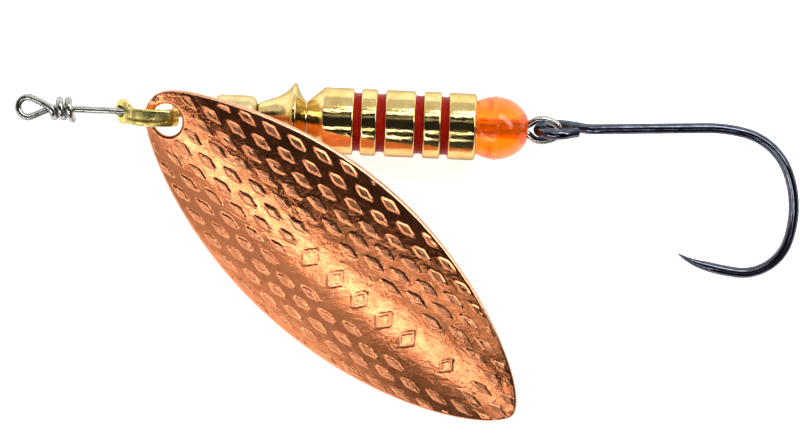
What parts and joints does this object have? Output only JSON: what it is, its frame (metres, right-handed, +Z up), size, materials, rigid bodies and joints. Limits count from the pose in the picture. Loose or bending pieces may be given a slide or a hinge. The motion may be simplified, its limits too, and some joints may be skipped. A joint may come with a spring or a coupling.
{
  "type": "inline spinner lure",
  "caption": "Inline spinner lure with a long embossed copper blade on a clevis, a grooved brass body, a bead and a barbless hook.",
  "frame": {"origin": "middle of the bottom of the bounding box, on the surface that the lure lies on", "axes": "+X along the shaft from the line eye to the hook, +Z up from the surface that the lure lies on, so +Y is away from the hook's point"},
  "size_m": [0.0768, 0.0322, 0.0082],
  "materials": {
    "wire_steel": "bright drawn stainless wire",
    "clevis_brass": "satin pressed brass",
    "copper": "polished copper plate, embossed",
    "brass": "polished turned brass",
    "groove_enamel": "dark red enamel in the grooves",
    "orange_plastic": "translucent moulded plastic",
    "black_nickel": "black nickel plated wire"
  },
  "bodies": {
    "shaft": {"shaft_wire": "wire_steel"},
    "clevis": {"clevis": "clevis_brass"},
    "blade": {"blade": "copper"},
    "bearing_bead": {"bearing_bead": "brass"},
    "bell": {"bell": "brass"},
    "body": {"body": "brass"},
    "tail_bead": {"tail_bead": "orange_plastic"},
    "hook": {"hook": "black_nickel"}
  },
  "joints": [
    {"name": "clevis_spin", "type": "hinge", "parent": "shaft", "child": "clevis", "pos_m": [-0.03843, 0.01258, 0.00351], "axis": [1, 0, 0], "continuous": true},
    {"name": "blade_swing", "type": "hinge", "parent": "clevis", "child": "blade", "pos_m": [-0.02542, 0.01188, 0.00518], "axis": [0, -0.9781, -0.2079], "range_deg": [0, 110]},
    {"name": "bearing_spin", "type": "hinge", "parent": "shaft", "child": "bearing_bead", "pos_m": [-0.03843, 0.01258, 0.00351], "axis": [1, 0, 0], "continuous": true},
    {"name": "bell_spin", "type": "hinge", "parent": "shaft", "child": "bell", "pos_m": [-0.03843, 0.01258, 0.00351], "axis": [1, 0, 0], "continuous": true},
    {"name": "body_spin", "type": "hinge", "parent": "shaft", "child": "body", "pos_m": [-0.03843, 0.01258, 0.00351], "axis": [1, 0, 0], "continuous": true},
    {"name": "tail_bead_spin", "type": "hinge", "parent": "shaft", "child": "tail_bead", "pos_m": [-0.03843, 0.01258, 0.00351], "axis": [1, 0, 0], "continuous": true},
    {"name": "hook_swing", "type": "hinge", "parent": "shaft", "child": "hook", "pos_m": [0.01434, 0.01268, 0.00351], "axis": [-0.0532, 0.9522, 0.3007], "range_deg": [-120, 120]}
  ]
}
